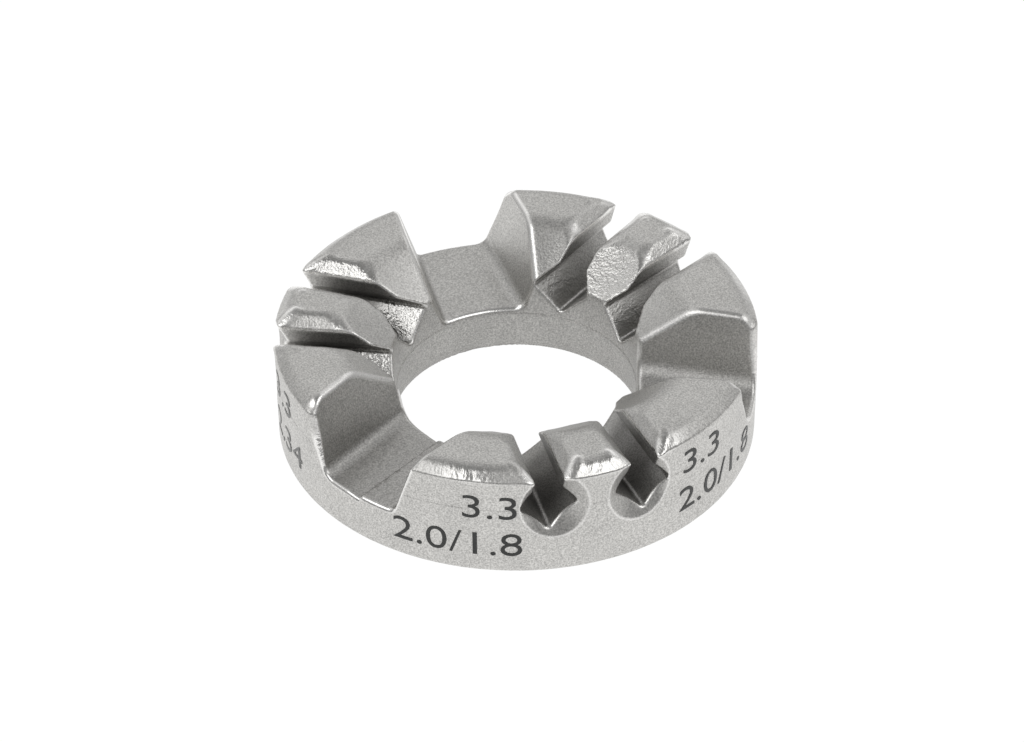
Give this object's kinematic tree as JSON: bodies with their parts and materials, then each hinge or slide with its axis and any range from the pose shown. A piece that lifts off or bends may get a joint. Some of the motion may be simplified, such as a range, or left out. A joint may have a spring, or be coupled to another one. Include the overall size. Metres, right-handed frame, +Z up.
{
  "type": "spoke wrench",
  "caption": "Round one-piece spoke wrench: a low cast ring with bevelled lugs, an open bore, keyhole slots that grip spoke nipples and wide gaps between the groups of lugs.",
  "frame": {"origin": "centre of the ring, on the flat base that it rests on", "axes": "+Z up along the ring's axis, from the base towards the tops of the lugs; -Y out through the middle of one group of lugs"},
  "size_m": [0.038, 0.0379, 0.0097],
  "materials": {
    "cast_steel": "satin, bead-blasted investment casting"
  },
  "bodies": {
    "root": {"wrench_ring": "cast_steel"}
  },
  "joints": []
}
